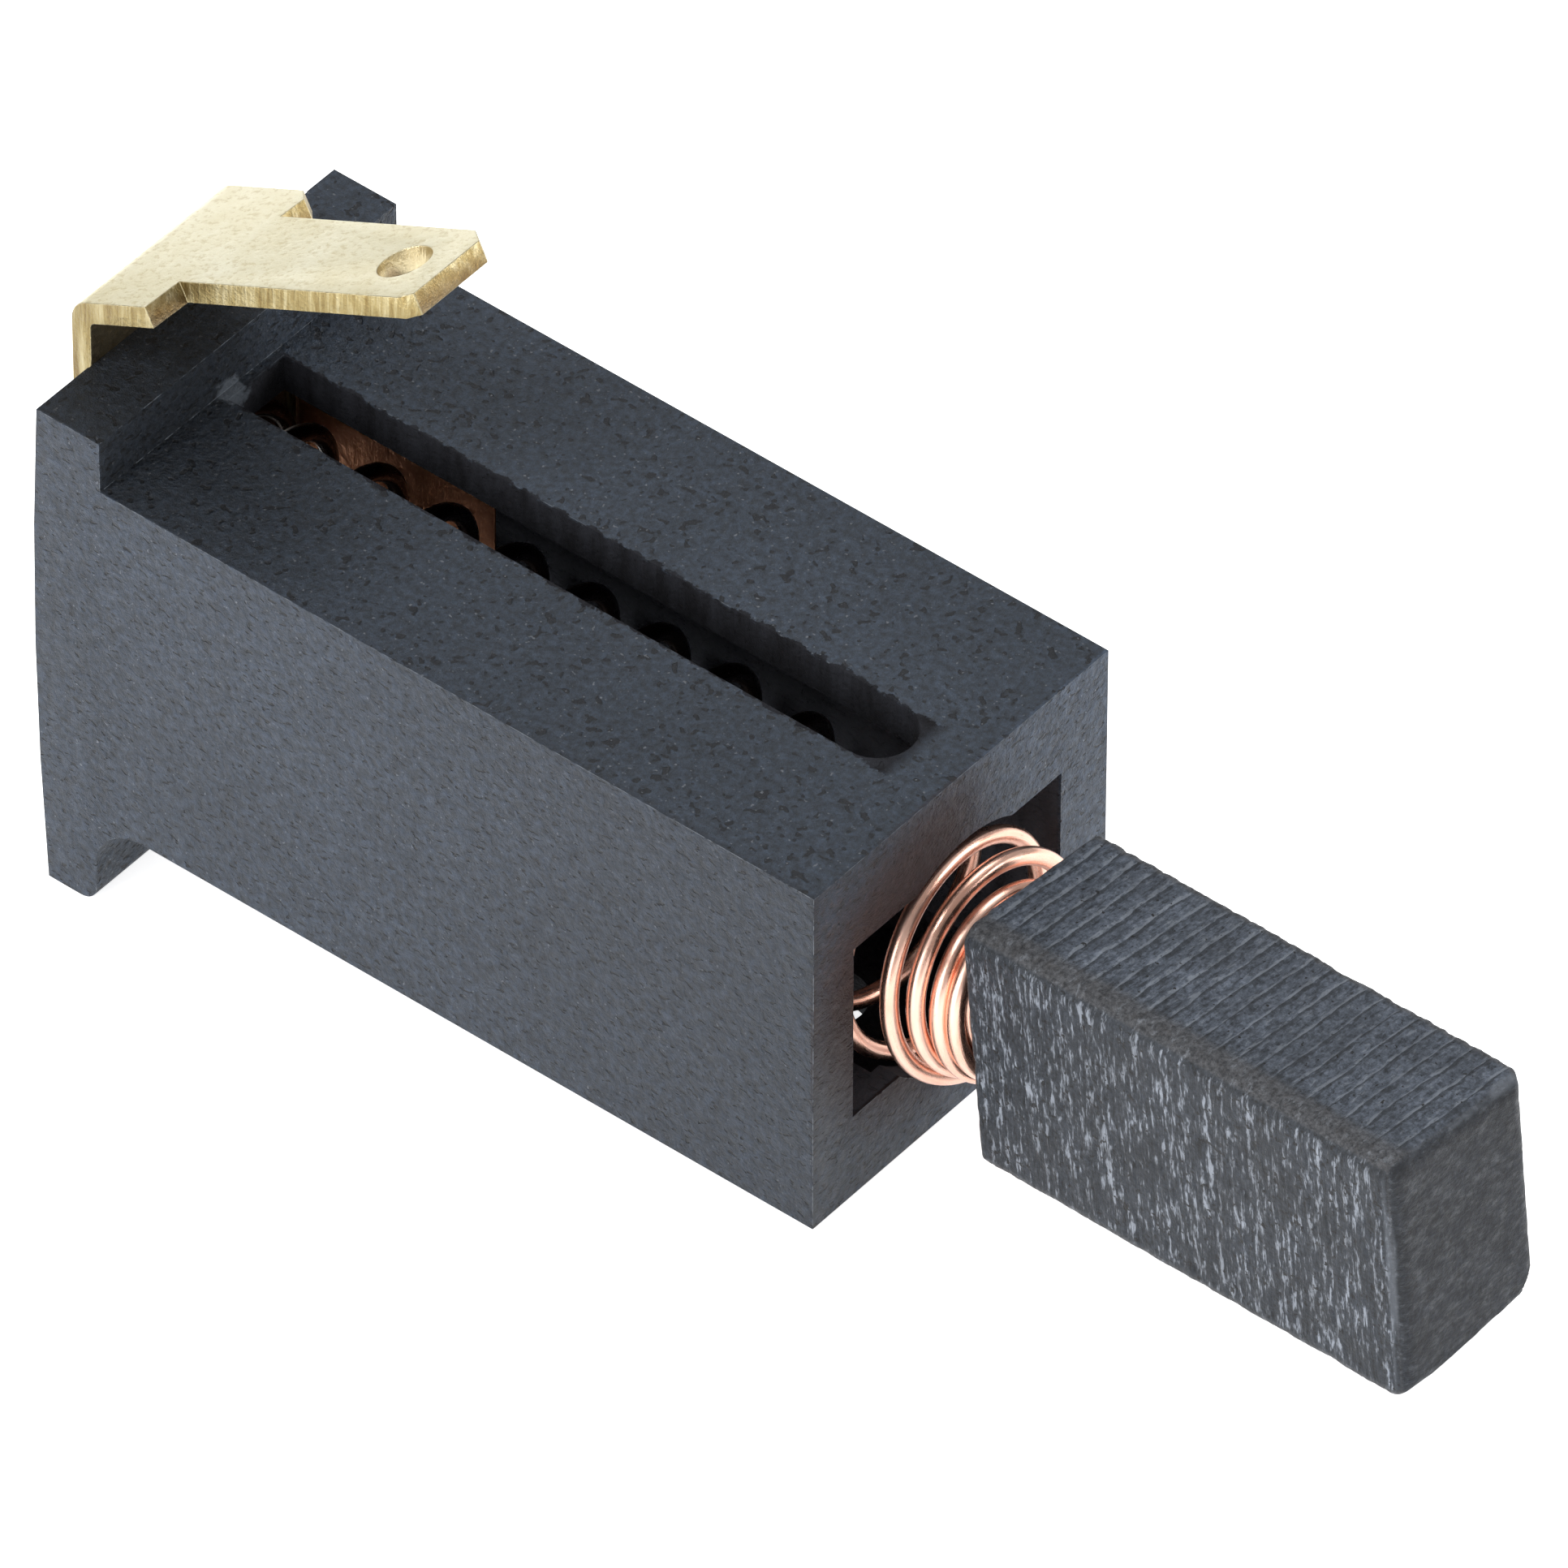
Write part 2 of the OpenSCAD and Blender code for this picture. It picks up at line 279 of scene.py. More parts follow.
def make_carbon():
    """A rounded section carried along the block and drawn in at both ends, which rings of it close.
    Two slanting planes cut the tip's lower corners, and points past a plane are moved square back to it.
    Saw marks lift the faces, and value noise chips the edges."""
    length, w, h = CARBON_SIZE
    base = rounded_section(w / 2, h / 2, SECTION_RADII, 58, 9)
    x, inset, grow = carbon_rows()
    scale = np.stack([(w / 2 - inset) / (w / 2), (h / 2 - inset) / (h / 2)], -1) * grow[:, None]
    places = np.broadcast_to(x[:, None, None], (len(x), len(base), 1))
    p = np.concatenate([places, base[None] * scale[:, None]], -1).reshape(-1, 3)
    local = p.copy()
    near_corner = ((1, 0.154, -1), (length, -w / 2, -h / 2), 0.11)
    far_corner = ((0.5, 0.7, -0.6), (length, w / 2, -h / 2), 0.85)
    for normal, at, depth in (near_corner, far_corner):
        n = np.array(normal) / np.linalg.norm(normal)
        over = np.maximum((p - np.array(at)) @ n + depth, 0)
        p = p - over[:, None] * n
    flat = carbon_out(local)
    steep = np.linalg.norm(flat, axis=1)
    out = flat / np.maximum(steep, 1e-9)[:, None]
    top, side, tip = np.abs(out[:, 2]) ** 3, np.abs(out[:, 1]) ** 3, np.clip(out[:, 0], 0, 1)
    inner = np.clip((local[:, 1] + w / 2 - 0.35) / 0.7, 0, 1)
    lift = saw_marks(local, top * inner, side, tip)
    lift = lift + (steep > 1.2) * 0.05 * np.minimum(hash_noise(local / 0.5, 41) + 0.1, 0)
    p = p + out * (lift - 0.012)[:, None]
    world = p @ turn_matrix(*CARBON_TURN).T + CARBON_AT
    piece = surface("carbon_block", world, grid_quads(len(x), len(base)))
    put_attribute(piece, "block", local)
    put_attribute(piece, "faces", np.stack([tip, side, top * inner], -1))
    return piece


def make_boss():
    """Short round boss behind the block: a circle drawn in at its free end and closed to a point there."""
    a = np.linspace(0, 2 * math.pi, 48, endpoint=False)
    rows = [(0.2, BOSS_R), (-0.62, BOSS_R), (-0.75, 1.24), (-0.8, 1.12), (-0.8, 0.0)]
    p = np.concatenate([np.column_stack([np.full(48, x), r * np.cos(a), r * np.sin(a)]) for x, r in rows])
    world = p @ turn_matrix(*CARBON_TURN).T + CARBON_AT
    piece = surface("carbon_boss", world, grid_quads(len(rows), 48)[:, ::-1])
    put_attribute(piece, "block", p)
    put_attribute(piece, "faces", np.zeros((len(p), 3)))
    return piece


def dressed(node, name, width):
    """A merged copy of a CAD node, flat faces joined again, its sharp edges rounded to the given width."""
    piece = frame["nodes"][node].copy()
    piece.data = piece.data.copy()
    piece.name = name
    piece.data.name = name
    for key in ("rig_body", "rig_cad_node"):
        if key in piece:
            del piece[key]
    piece.parent = None
    bpy.context.scene.collection.objects.link(piece)
    bm = bmesh.new()
    bm.from_mesh(piece.data)
    bmesh.ops.remove_doubles(bm, verts=bm.verts, dist=2e-6)
    bmesh.ops.dissolve_limit(bm, angle_limit=math.radians(1.0), verts=bm.verts, edges=bm.edges)
    bm.to_mesh(piece.data)
    bm.free()
    piece.data.polygons.foreach_set("use_smooth", np.full(len(piece.data.polygons), True))
    bevel = piece.modifiers.new("rounded_edges", "BEVEL")
    bevel.width = width * MM
    bevel.segments = 3
    bevel.limit_method = "ANGLE"
    bevel.angle_limit = math.radians(35)
    bevel.harden_normals = True
    bevel.material = 1  # the rounded edges take the piece's second finish
    return piece


# ---------------------------------------------------------------- finishes


def grey(v):
    """An even grey of brightness v."""
    return (v, v, v)


def set_in(node, **values):
    """Sets a node's own inputs by name, with an underscore for each space."""
    for key, value in values.items():
        node.inputs[key.replace("_", " ")].default_value = value


class Tree:
    """The nodes of a material, a group or the world, with a short way of adding each kind."""

    def __init__(self, node_tree):
        """Keeps the tree's nodes and links at hand."""
        self.nodes, self.links = node_tree.nodes, node_tree.links

    def put(self, socket, value):
        """Feeds a socket with a number, a colour or vector, or another node's output."""
        if isinstance(value, tuple):
            socket.default_value = (*value, 1) if socket.type == "RGBA" else value
        elif isinstance(value, (int, float)):
            socket.default_value = value
        else:
            self.links.new(value, socket)

    def place(self, kind="Object"):
        """Where a point lies on its piece, in metres, or which way it faces."""
        return self.nodes.new("ShaderNodeTexCoord").outputs[kind]

    def attribute(self, name):
        """A vector stored on the piece's points."""
        n = self.nodes.new("ShaderNodeAttribute")
        n.attribute_name = name
        return n.outputs["Vector"]

    def parts(self, vector):
        """A vector's three numbers."""
        n = self.nodes.new("ShaderNodeSeparateXYZ")
        self.links.new(vector, n.inputs[0])
        return n.outputs

    def stretch(self, vector, scale, turn=(0, 0, 0)):
        """A vector scaled along each axis, then turned."""
        n = self.nodes.new("ShaderNodeMapping")
        set_in(n, Scale=scale, Rotation=turn)
        self.links.new(vector, n.inputs["Vector"])
        return n.outputs["Vector"]

    def to_number(self, kind, vector, other):
        """The number that a vector operation makes of a vector and a fixed one."""
        n = self.nodes.new("ShaderNodeVectorMath")
        n.operation = kind
        self.links.new(vector, n.inputs[0])
        n.inputs[1].default_value = other
        return n.outputs["Value"]

    def distance(self, vector, point):
        """How far a vector is from a fixed point."""
        return self.to_number("DISTANCE", vector, point)

    def noise(self, vector, scale, detail, roughness):
        """Cloudy noise, 0 to 1."""
        n = self.nodes.new("ShaderNodeTexNoise")
        set_in(n, Scale=scale, Detail=detail, Roughness=roughness)
        self.links.new(vector, n.inputs["Vector"])
        return n.outputs["Fac"]

    def ramp(self, value, stops):
        """A colour that runs between (place, colour) stops."""
        n = self.nodes.new("ShaderNodeValToRGB")
        elements = n.color_ramp.elements
        while len(elements) > 1:
            elements.remove(elements[-1])
        for k, (at, colour) in enumerate(stops):
            stop = elements[0] if k == 0 else elements.new(at)
            stop.position = at
            stop.color = (*colour, 1)
        self.links.new(value, n.inputs["Fac"])
        return n.outputs["Color"]

    def mix(self, share, a, b, kind="MIX"):
        """Colour a with a share of colour b mixed in."""
        n = self.nodes.new("ShaderNodeMix")
        n.data_type = "RGBA"
        n.blend_type = kind
        for socket, value in ((n.inputs["Factor"], share), (n.inputs[6], a), (n.inputs[7], b)):
            self.put(socket, value)
        return n.outputs[2]

    def maths(self, kind, *values):
        """One arithmetic operation on one or two numbers."""
        n = self.nodes.new("ShaderNodeMath")
        n.operation = kind
        for socket, value in zip(n.inputs, values):
            self.put(socket, value)
        return n.outputs[0]

    def times(self, a, b):
        """a times b."""
        return self.maths("MULTIPLY", a, b)

    def plus(self, a, b):
        """a plus b."""
        return self.maths("ADD", a, b)

    def minus(self, a, b):
        """a minus b."""
        return self.maths("SUBTRACT", a, b)

    def larger(self, a, b):
        """The larger of a and b."""
        return self.maths("MAXIMUM", a, b)

    def size_of(self, a):
        """a without its sign."""
        return self.maths("ABSOLUTE", a)

    def fraction(self, a):
        """What a has past its whole number."""
        return self.maths("FRACT", a)

    def step(self, value, low, high):
        """0 below low, 1 above high, smooth between; low may be the larger, which turns it round."""
        n = self.nodes.new("ShaderNodeMapRange")
        n.interpolation_type = "SMOOTHSTEP"
        start, end = (0.0, 1.0) if low < high else (1.0, 0.0)
        set_in(n, From_Min=min(low, high), From_Max=max(low, high), To_Min=start, To_Max=end)
        self.links.new(value, n.inputs["Value"])
        return n.outputs["Result"]

    def bump(self, height, strength, distance, after=None):
        """A normal tilted by a height, on top of an earlier bump."""
        n = self.nodes.new("ShaderNodeBump")
        set_in(n, Strength=strength, Distance=distance)
        self.links.new(height, n.inputs["Height"])
        if after is not None:
            self.links.new(after, n.inputs["Normal"])
        return n.outputs["Normal"]

    def feed(self, name, value):
        """Feeds one input of this tree's shader, or one output of this tree's group."""
        self.links.new(value, self.end.inputs[name])


def new_material(name):
    """A material with one principled shader, which its tree feeds."""
    material = bpy.data.materials.new(name)
    material.use_nodes = True
    t = Tree(material.node_tree)
    t.nodes.clear()
    out = t.nodes.new("ShaderNodeOutputMaterial")
    t.end = t.nodes.new("ShaderNodeBsdfPrincipled")
    t.links.new(t.end.outputs["BSDF"], out.inputs["Surface"])
    return material, t


GROUP_OUTPUTS = {
    "Base Color": "NodeSocketColor",
    "Roughness": "NodeSocketFloat",
    "Normal": "NodeSocketVector",
}


def new_group(name, vectors, numbers):
    """A shader node group with named inputs that puts out a colour, a roughness and a normal."""
    group = bpy.data.node_groups.new(name, "ShaderNodeTree")
    for title in vectors:
        group.interface.new_socket(title, in_out="INPUT", socket_type="NodeSocketVector")
    for title in numbers:
        group.interface.new_socket(title, in_out="INPUT", socket_type="NodeSocketFloat")
    for title, kind in GROUP_OUTPUTS.items():
        group.interface.new_socket(title, in_out="OUTPUT", socket_type=kind)
    t = Tree(group)
    given = t.nodes.new("NodeGroupInput").outputs
    t.end = t.nodes.new("NodeGroupOutput")
    return group, t, given


def use_group(t, group, values):
    """Places a group in a material, feeds its inputs, and leads its outputs to the shader."""
    n = t.nodes.new("ShaderNodeGroup")
    n.node_tree = group
    for title, value in values.items():
        t.put(n.inputs[title], value)
    for title in GROUP_OUTPUTS:
        t.feed(title, n.outputs[title])


def ragged_rim(t, co):
    """A small uneven length, in metres either way, that makes a rim look broken."""
    return t.times(t.minus(t.noise(co, 2300, 4, 0.65), 0.5), 0.00075)


def moulding_group():
    """Charcoal thermoset: fine grain, pale specks, slanting pits and a painted pale reflection at the slot's
    rear end.
    Its numbers say where painted shade, a painted blade shadow and a painted brown reflection of the spring
    darken it, and how far the grain is painted pale in streaks, as wear and a painted highlight."""
    group, t, given = new_group("moulding_finish", ["Place"], ["Painted Shade", "Blade Shadow", "Spring Reflection", "Pale Edge"])
    co = given["Place"]
    x, y, z = t.parts(co)
    grain = t.noise(co, 5000, 4, 0.75)
    coarse = t.noise(co, 2700, 3, 0.6)
    cloud = t.noise(co, 240, 4, 0.6)
    base = t.ramp(cloud, [(0.3, (0.0175, 0.0250, 0.0365)), (0.7, (0.0235, 0.0325, 0.0465))])
    tone = t.ramp(grain, [(0.34, grey(0.48)), (0.5, (1.0, 1.02, 1.05)), (0.68, (1.75, 1.80, 1.88))])
    base = t.mix(1.0, base, tone, "MULTIPLY")
    pits = t.noise(t.stretch(co, (4000, 4000, 8000), (0, 0.75, 0)), 1.0, 1, 0.5)
    pit = t.step(pits, 0.37, 0.315)
    base = t.mix(pit, base, (0.004, 0.006, 0.010))
    specks = t.step(t.noise(co, 9500, 1, 0.5), 0.69, 0.77)
    base = t.mix(specks, base, (0.11, 0.122, 0.14))
    # painted shade: the near side darkens a little towards the mouth, and the front face has painted shade
    # towards its near side and painted light towards its far side
    near_side = t.step(y, -0.0050, -0.0052)
    side_shade = t.mix(t.step(x, 0.004, 0.021), (0.90, 0.91, 0.94), (0.60, 0.61, 0.64))
    base = t.mix(near_side, base, t.mix(1.0, base, side_shade, "MULTIPLY"))
    across = t.mix(t.step(y, -0.0045, 0.0045), (0.66, 0.69, 0.74), (1.50, 1.54, 1.62))
    base = t.mix(t.step(x, 0.02085, 0.0209), base, t.mix(1.0, base, across, "MULTIPLY"))
    # painted shade in the slots: black near the skin, and lifted paler deep inside by painted light
    shade_cloud = t.noise(t.stretch(co, (2600, 2600, 500)), 1.0, 3, 0.6)
    inside_shade = t.ramp(shade_cloud, [(0.35, (0.005, 0.005, 0.007)), (0.65, (0.016, 0.017, 0.022))])
    painted_deep = t.step(t.size_of(z), 0.0042, 0.0036)
    inside_shade = t.mix(painted_deep, inside_shade, (0.075, 0.080, 0.095))
    base = t.mix(given["Painted Shade"], base, inside_shade)
    # painted shadow of the blade darkens the corner under it
    base = t.mix(1.0, base, t.mix(given["Blade Shadow"], grey(1.0), (0.42, 0.41, 0.40)), "MULTIPLY")
    # a painted pale reflection, ragged at its edge, at the slot's rear end
    from_glint = t.distance(t.stretch(co, (1000, 1000, 1000)), (0.15, -0.75, 5.15))
    glint_edge = t.plus(from_glint, t.times(ragged_rim(t, co), 1600.0))
    base = t.mix(t.times(t.step(glint_edge, 0.55, 0.3), 0.8), base, (0.095, 0.11, 0.13))
    # painted brown reflection of the spring, with painted shade, round the mouth
    base = t.mix(t.times(given["Spring Reflection"], 0.85), base, (0.026, 0.0135, 0.012))
    # wear and a painted highlight: the grain painted pale in streaks on the rounded edges
    pale_streak = t.times(t.step(t.noise(co, 1900, 4, 0.75), 0.44, 0.58), given["Pale Edge"])
    base = t.mix(t.times(pale_streak, t.minus(1.0, given["Painted Shade"])), base, (0.16, 0.18, 0.205))
    t.feed("Base Color", base)
    dull = t.ramp(coarse, [(0.3, grey(0.48)), (0.7, grey(0.62))])
    t.feed("Roughness", t.mix(given["Painted Shade"], dull, grey(0.8)))
    n1 = t.bump(grain, 1.0, 0.00012)
    n2 = t.bump(coarse, 0.8, 0.00010, n1)
    t.feed("Normal", t.bump(t.minus(1.0, pit), 0.9, 0.00006, n2))
    return group


def moulding_material(name, group, pale_edge):
    """The moulding's finish with its painted shade inside, painted blade shadow and painted reflection of the
    spring.
    These also take its gloss away, which the group's outputs don't carry, so they are worked out here."""
    material, t = new_material(name)
    co = t.place()
    x, y, z = t.parts(co)
    # the slots' rims: on the roof and floor, within a ragged millimetre of the middle, painted black, painted
    # shade that makes the rims look broken away
    near = t.plus(t.size_of(t.plus(y, 0.000045)), ragged_rim(t, co))
    along = t.times(t.step(x, 0.0000, 0.0004), t.step(x, 0.0199, 0.0194))
    broken = t.times(t.step(near, 0.00103, 0.00099), along)
    # the inside: everything deeper than the skin is painted black, as painted shade
    deep = t.step(t.size_of(z), 0.00519, 0.00508)
    walls = t.step(t.size_of(y), 0.0051, 0.0050)
    mouth = t.step(x, 0.02092, 0.0208)
    rear = t.step(x, -0.0016, -0.0014)
    inside = t.times(t.times(deep, walls), t.times(mouth, rear))
    blackened = t.larger(inside, broken)
    # painted shadow of the blade: the corner under it, flange front and the roof's near half, darker and less
    # glossy
    blade_shadow = t.times(t.step(x, 0.0085, -0.0005), t.step(y, 0.0012, -0.0008))
    blade_shadow = t.times(blade_shadow, t.step(z, 0.0050, 0.0052))
    blade_shadow = t.times(blade_shadow, t.step(y, -0.00526, -0.00518))
    # round the mouth's near side the front face has a painted brown reflection of the spring, and painted
    # shade
    from_mouth = t.distance(co, (0.0209, -0.0006, 0.0006))
    spring_reflection = t.times(t.step(from_mouth, 0.0056, 0.0034), t.step(y, 0.0016, -0.0006))
    spring_reflection = t.times(spring_reflection, t.step(x, 0.02085, 0.0209))
    use_group(t, group, {"Place": co, "Painted Shade": blackened, "Blade Shadow": blade_shadow, "Spring Reflection": spring_reflection, "Pale Edge": pale_edge})
    # painted shade, painted blade shadow and painted reflection also lower the specular level
    shine = t.mix(blade_shadow, grey(1.0), grey(0.62))
    shine = t.mix(1.0, shine, t.mix(spring_reflection, t.mix(blackened, grey(0.42), grey(0.2)), grey(0.22)), "MULTIPLY")
    t.feed("Specular IOR Level", shine)
    return material


def graphite_material():
    """Sawn graphite: black with dense pale upright dashes on the sides, broken cross bands on the top, a
    smoother tip, pores and soot all over."""
    material, t = new_material("graphite_sawn")
    co = t.attribute("block")
    tip, side, top = t.parts(t.attribute("faces"))
    length = t.parts(co)[0]
    fine = t.noise(co, 9, 4, 0.7)
    soft = t.noise(co, 1.1, 3, 0.6)
    dashes = t.noise(t.stretch(co, (7.5, 4, 0.9)), 1.0, 3, 0.7)
    flecks = t.noise(t.stretch(co, (10, 6, 3.2)), 1.0, 3, 0.65)
    columns = t.noise(t.stretch(co, (2.6, 1, 0.25)), 1.0, 2, 0.5)
    upright = t.plus(t.times(dashes, 0.5), t.times(flecks, 0.4))
    upright = t.plus(upright, t.times(columns, 0.17))
    wobble = t.noise(t.stretch(co, (0.5, 0.7, 0.5)), 1.0, 3, 0.6)
    turns = t.plus(t.times(length, 1.85), t.times(wobble, 0.55))
    saw = t.fraction(turns)
    line = t.minus(t.step(saw, 0.75, 0.95), t.step(saw, 0.3, 0.05))
    across = t.noise(t.stretch(co, (7, 2.4, 5)), 1.0, 4, 0.7)
    across = t.plus(t.times(across, 0.8), 0.1)
    across = t.plus(across, t.times(line, 0.13))
    flakes = t.noise(t.stretch(co, (5, 3, 5)), 1.0, 5, 0.7)
    marks = t.mix(top, t.mix(side, flakes, upright), across)
    darkest, middle, palest = (0.012, 0.0145, 0.018), (0.030, 0.036, 0.044), (0.056, 0.064, 0.077)
    body = t.ramp(fine, [(0.32, darkest), (0.5, middle), (0.7, palest)])
    # painted light and shade: the top painted lighter, the sides and the tip darker
    lift = t.mix(top, t.mix(side, grey(1.0), (0.44, 0.47, 0.53)), (1.76, 1.79, 1.92))
    lift = t.mix(tip, lift, (0.22, 0.25, 0.32))
    body = t.mix(1.0, body, lift, "MULTIPLY")
    pale = t.step(marks, 0.545, 0.645)
    strong = t.mix(tip, t.mix(top, grey(0.95), grey(0.5)), grey(0.08))
    pale = t.times(pale, strong)
    base = t.mix(pale, body, t.mix(side, (0.17, 0.19, 0.22), (0.185, 0.205, 0.24)))
    blackened = t.times(t.step(marks, 0.49, 0.38), t.mix(tip, t.mix(top, grey(0.9), grey(0.6)), grey(0.2)))
    base = t.mix(blackened, base, (0.006, 0.007, 0.008))
    base = t.mix(1.0, base, t.ramp(soft, [(0.3, grey(0.7)), (0.7, grey(1.25))]), "MULTIPLY")
    holes = t.minus(t.noise(co, 6.5, 2, 0.5), t.times(side, 0.045))
    pores = t.step(holes, 0.33, 0.29)
    base = t.mix(pores, base, (0.003, 0.003, 0.004))
    # the long edges are rubbed grey and full of pores
    flat = t.larger(t.larger(top, side), tip)
    edge = t.step(flat, 0.75, 0.35)
    pale_edge = t.ramp(fine, [(0.35, (0.022, 0.022, 0.024)), (0.65, (0.108, 0.106, 0.110))])
    base = t.mix(t.times(edge, 0.55), base, pale_edge)
    # the rounded rim of the tip is painted pale in streaks, as wear and a painted highlight
    rim = t.times(t.step(tip, 0.02, 0.25), t.step(tip, 0.98, 0.70))
    rim = t.times(rim, t.step(columns, 0.42, 0.60))
    base = t.mix(t.times(rim, 0.5), base, (0.11, 0.123, 0.145))
    t.feed("Base Color", base)
    gloss = t.ramp(marks, [(0.4, grey(0.7)), (0.65, grey(0.45))])
    t.feed("Roughness", gloss)
    set_in(t.end, Specular_IOR_Level=0.35)
    n1 = t.bump(fine, 0.7, 0.00004)
    n2 = t.bump(marks, 0.9, 0.00008, n1)
    t.feed("Normal", n2)
    return material


def copper_material():
    """Bright drawn copper-coloured wire: pink, with faint draw lines and dulled, tarnished places."""
    material, t = new_material("copper_wire")
    co = t.attribute("wire")
    lines = t.noise(t.stretch(co, (0.35, 6, 6)), 1.0, 3, 0.6)
    dull = t.noise(t.stretch(co, (0.9, 0.9, 0.9)), 1.0, 4, 0.65)
    base = t.ramp(dull, [(0.3, (0.84, 0.46, 0.34)), (0.65, (0.94, 0.62, 0.50))])
    spots = t.step(t.noise(t.stretch(co, (5, 2, 2)), 1.0, 3, 0.6), 0.66, 0.74)
    base = t.mix(t.times(spots, 0.5), base, (0.50, 0.24, 0.15))
    # the turns inside the holder, up to the last two before the mouth, are painted black as painted shade
    x = t.parts(t.place())[0]
    painted_deep = t.step(x, 0.0172, 0.0158)
    base = t.mix(painted_deep, base, (0.045, 0.022, 0.014))
    t.feed("Base Color", base)
    t.feed("Roughness", t.ramp(dull, [(0.3, grey(0.20)), (0.7, grey(0.36))]))
    set_in(t.end, Metallic=1.0)
    t.feed("Normal", t.bump(lines, 0.3, 0.00002))
    return material


def brass_group():
    """Satin rolled brass: pale dimpled face, deep gold sheared edges scored across, dull underneath, and a
    copper-red tongue. Rolled is the share of an even, greyer brass mixed in."""
    group, t, given = new_group("brass_finish", ["Place", "Facing"], ["Rolled"])
    co = given["Place"]
    x, y, _ = t.parts(co)
    nx, _, nz = t.parts(given["Facing"])
    # edge faces look along Y or along the blade, wide faces are square to them
    out_face = t.minus(t.times(nz, 0.892), t.times(nx, 0.452))
    wide = t.larger(t.step(t.size_of(out_face), 0.75, 0.9), t.step(t.size_of(nx), 0.92, 0.97))
    under = t.larger(t.step(out_face, -0.6, -0.85), t.step(nx, 0.8, 0.95))
    fine = t.noise(co, 9000, 4, 0.75)
    dimple = t.noise(t.stretch(co, (4600, 6500, 4600)), 1.0, 4, 0.7)
    cloud = t.noise(co, 500, 4, 0.6)
    face = t.ramp(cloud, [(0.3, (0.82, 0.75, 0.51)), (0.7, (0.94, 0.90, 0.70))])
    face = t.mix(t.times(t.step(dimple, 0.49, 0.36), 0.42), face, (0.56, 0.45, 0.20))
    score = t.noise(t.stretch(co, (5200, 3400, 420)), 1.0, 4, 0.7)
    deep_gold, gold, pale_gold = (0.17, 0.115, 0.042), (0.29, 0.23, 0.105), (0.47, 0.41, 0.25)
    edge = t.ramp(score, [(0.3, deep_gold), (0.5, gold), (0.72, pale_gold)])
    # the hole's wall is paler
    from_hole = t.distance(co, BLADE_HOLE)
    edge = t.mix(t.step(from_hole, 0.0011, 0.0009), edge, (0.62, 0.53, 0.33))
    base = t.mix(wide, edge, face)
    base = t.mix(t.times(under, 0.85), base, (0.10, 0.06, 0.025))
    base = t.mix(given["Rolled"], base, (0.50, 0.45, 0.30))
    tongue = t.step(x, -0.0018, -0.0014)
    tongue = t.times(tongue, t.step(y, 0.0030, 0.0034))
    base = t.mix(t.times(tongue, 0.95), base, (0.80, 0.36, 0.20))
    t.feed("Base Color", base)
    plain = t.ramp(fine, [(0.3, grey(0.30)), (0.7, grey(0.46))])
    t.feed("Roughness", t.mix(wide, grey(0.34), plain))
    n1 = t.bump(fine, 0.3, 0.00002)
    n2 = t.bump(dimple, 0.6, 0.00006, n1)
    height = t.mix(wide, score, grey(0.5))
    t.feed("Normal", t.bump(height, 0.6, 0.00006, n2))
    return group


def brass_material(name, group, rolled):
    """The brass finish, with its own share of rolled edge."""
    material, t = new_material(name)
    use_group(t, group, {"Place": t.place(), "Facing": t.place("Normal"), "Rolled": rolled})
    set_in(t.end, Metallic=1.0)
    return material


def floor_material():
    """White board, lit from within like a light table, with a barely seen tooth."""
    material, t = new_material("pale_floor")
    co = t.place()
    tooth = t.noise(co, 300, 3, 0.5)
    base = t.ramp(tooth, [(0.3, grey(0.90)), (0.7, grey(0.93))])
    t.feed("Base Color", base)
    t.feed("Emission Color", base)
    set_in(t.end, Roughness=0.9, Specular_IOR_Level=0.1, Emission_Strength=0.9)
    return material


# ---------------------------------------------------------------- the object

thermoset = moulding_group()
moulding = [
    moulding_material("thermoset_charcoal", thermoset, pale_edge=0.0),
    moulding_material("thermoset_worn_highlit_edge", thermoset, pale_edge=0.8),
]
graphite = [graphite_material()]
copper = [copper_material()]
sheet = brass_group()
brass = [
    brass_material("brass_sheet", sheet, rolled=0.0),
    brass_material("brass_rolled_over", sheet, rolled=0.4),
]


def finish_piece(piece, materials, body, slot, *nodes):
    """Gives a piece its finishes and its body and hides the CAD nodes that it stands for; the slot is not
    used.
    """
    piece.data.materials.clear()
    for material in materials:
        piece.data.materials.append(material)
    if body:
        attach(piece, body)
    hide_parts(*nodes)


holder = dressed("holder", "holder_moulding", HOLDER_EDGE)
finish_piece(holder, moulding, "holder", "moulding", "holder")
blade = dressed("terminal", "terminal_sheet", BLADE_EDGE)
finish_piece(blade, brass, "holder", "brass", "terminal")
spring = make_spring()
finish_piece(spring, copper, None, "copper", "spring")
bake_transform(spring)
block = make_carbon()
finish_piece(block, graphite, "carbon", "graphite", "carbon")
boss = make_boss()
finish_piece(boss, graphite, "carbon", "graphite")

# ---------------------------------------------------------------- floor, light, camera


def make_floor():
    """Flat board, tilted about Y, through the flange's lower lip and the box's lower front edge."""
    flat = FLOOR_HALF * np.array([[-1, -1, 0], [1, -1, 0], [1, 1, 0], [-1, 1, 0]], float)
    p = flat.copy()
    p[:, 0] = flat[:, 0] * math.cos(FLOOR_TILT)
    p[:, 2] = flat[:, 0] * math.sin(FLOOR_TILT) - FLOOR_DROP - FACE_X * math.tan(FLOOR_TILT)
    piece = surface("floor", p, np.array([[0, 1, 2, 3]]), smooth=False)
    piece.data.materials.append(floor_material())


make_floor()


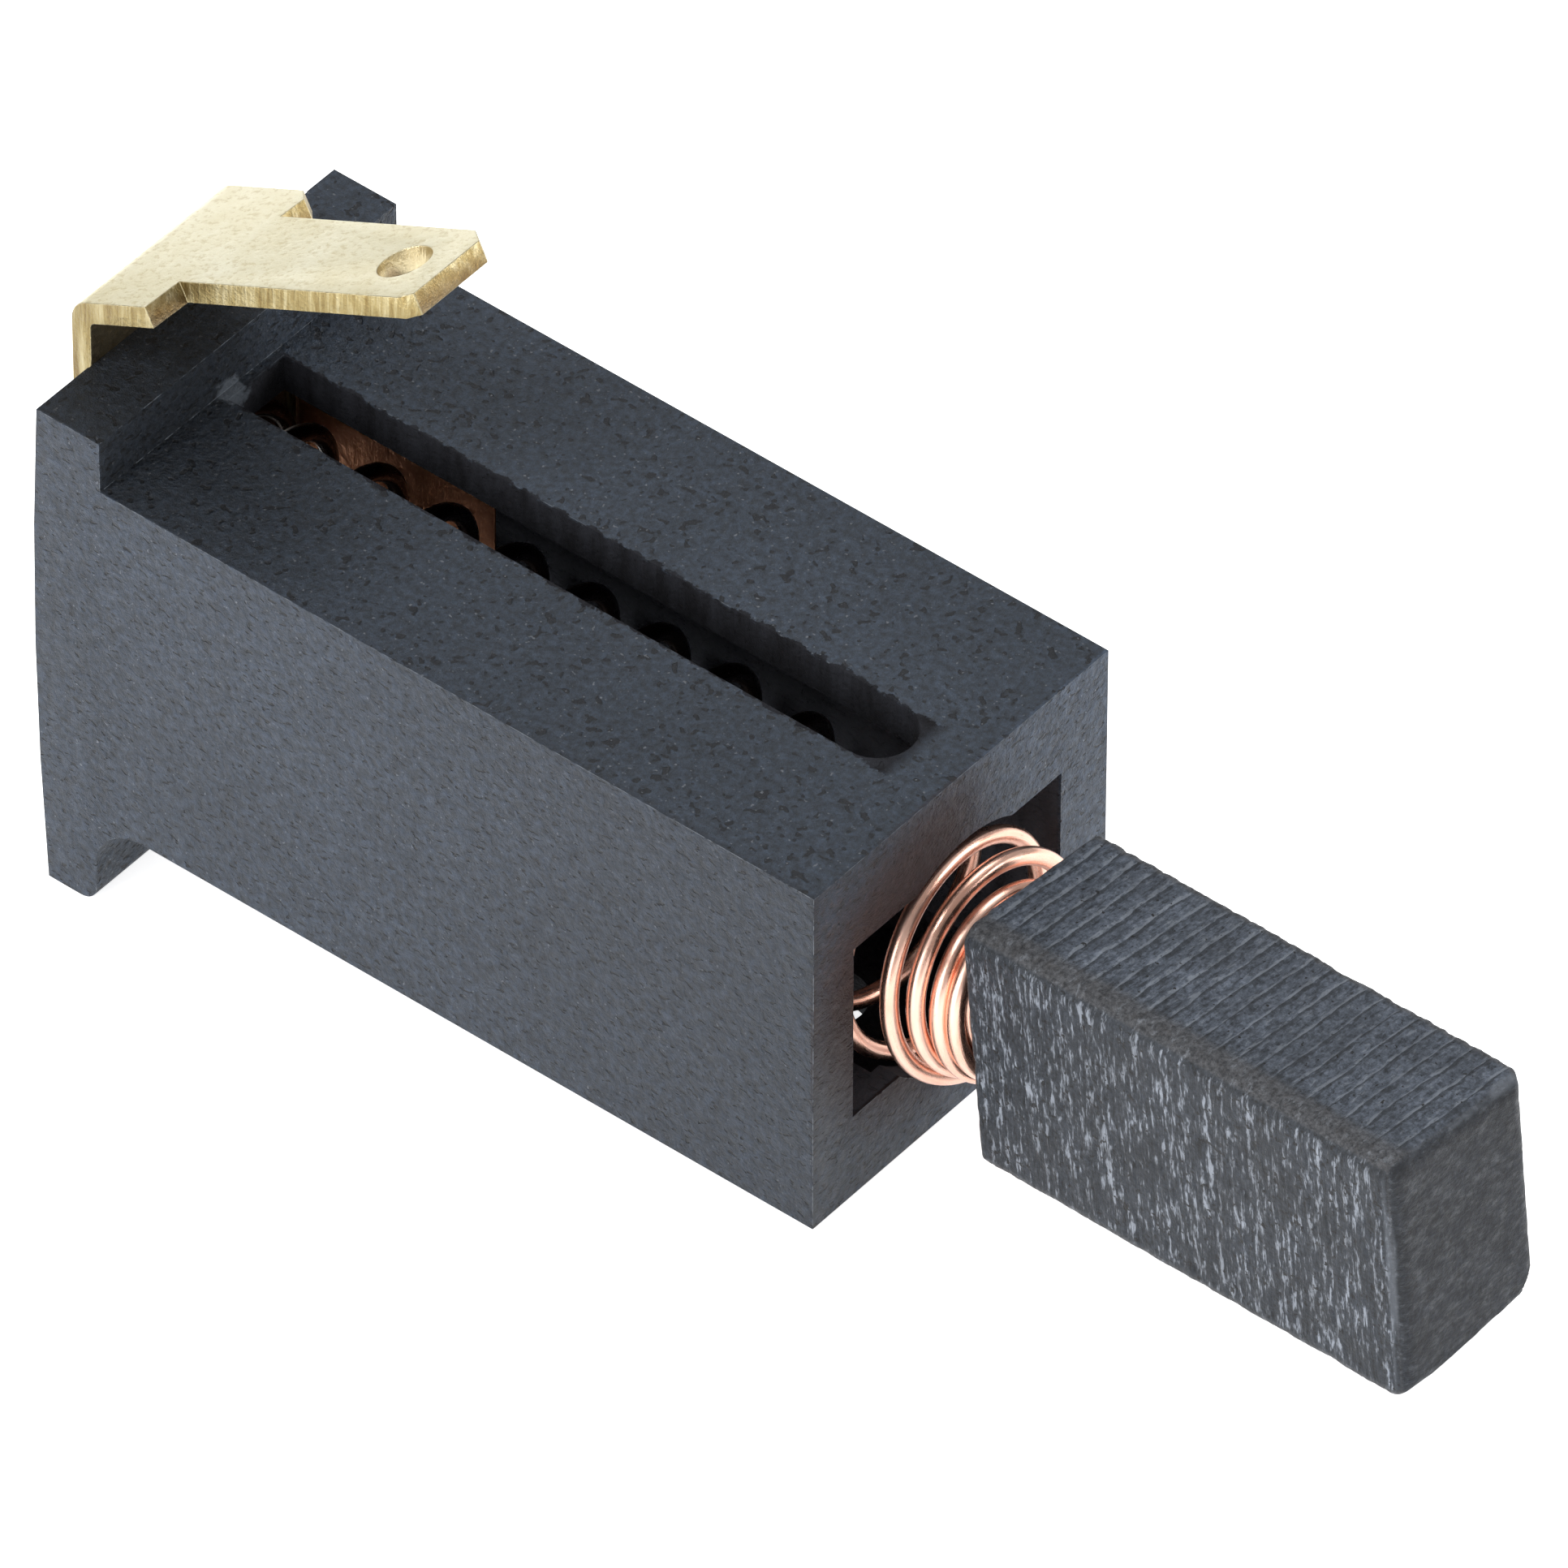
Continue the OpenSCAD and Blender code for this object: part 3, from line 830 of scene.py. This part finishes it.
def soft_light(name, at, size, power):
    """A white soft box at a place, facing the middle of the holder."""
    data = bpy.data.lights.new(name, "AREA")
    data.shape = "RECTANGLE"
    data.size, data.size_y = size[0] * MM, size[1] * MM
    data.energy = power
    lamp = bpy.data.objects.new(name, data)
    bpy.context.scene.collection.objects.link(lamp)
    lamp.location = Vector(at) * MM
    way = (Vector((8, 0, 0)) - Vector(at)).normalized()
    lamp.rotation_mode = "QUATERNION"
    lamp.rotation_quaternion = way.to_track_quat("-Z", "Y")


soft_light("left_box", (-80, -420, 130), (420, 260), 1.75)
soft_light("top_box", (-20, 210, 400), (240, 240), 0.65)
soft_light("slot_box", (-60, -240, 400), (120, 120), 0.7)
soft_light("front_box", (400, 240, 110), (220, 200), 1.15)


def make_room():
    """Pale room: bright on the side behind the part, grey elsewhere, by direction."""
    world = bpy.data.worlds.new("pale_room")
    world.use_nodes = True
    t = Tree(world.node_tree)
    toward_bright = t.to_number("DOT_PRODUCT", t.place("Generated"), (-0.83, 0.56, 0.02))
    stops = [(0.0, grey(0.38)), (0.55, grey(0.42)), (0.85, grey(0.75)), (1.0, grey(0.82))]
    t.end = t.nodes["Background"]
    t.feed("Color", t.ramp(toward_bright, stops))
    set_in(t.end, Strength=1.0)
    bpy.context.scene.world = world


make_room()
bpy.context.scene.view_settings.view_transform = "Standard"


def make_camera():
    """Long lens looking down on the brush from the carbon's end: azimuth 39.2, elevation 43.7 degrees."""
    az, el, roll = math.radians(39.231), math.radians(43.740), math.radians(-0.162)
    back = np.array([math.sin(az) * math.cos(el), -math.cos(az) * math.cos(el), math.sin(el)])
    right = np.array([math.cos(az), math.sin(az), 0.0])
    up = np.cross(back, right)
    r = math.cos(roll) * right - math.sin(roll) * up
    u = math.sin(roll) * right + math.cos(roll) * up
    aside, above, away = -3.983, 3.528, 528.19  # mm from the front face's middle, in the camera's own axes
    eye = r * aside + u * above + back * away + np.array([FACE_X, 0, 0])
    data = bpy.data.cameras.new("camera")
    data.sensor_width = 36.0
    data.lens = 537.151863
    data.clip_start, data.clip_end = 0.05, 10
    cam = bpy.data.objects.new("camera", data)
    bpy.context.scene.collection.objects.link(cam)
    place = np.eye(4)
    place[:3] = np.column_stack([r, u, back, eye * MM])
    cam.matrix_world = Matrix(place.tolist())
    bpy.context.scene.camera = cam


make_camera()
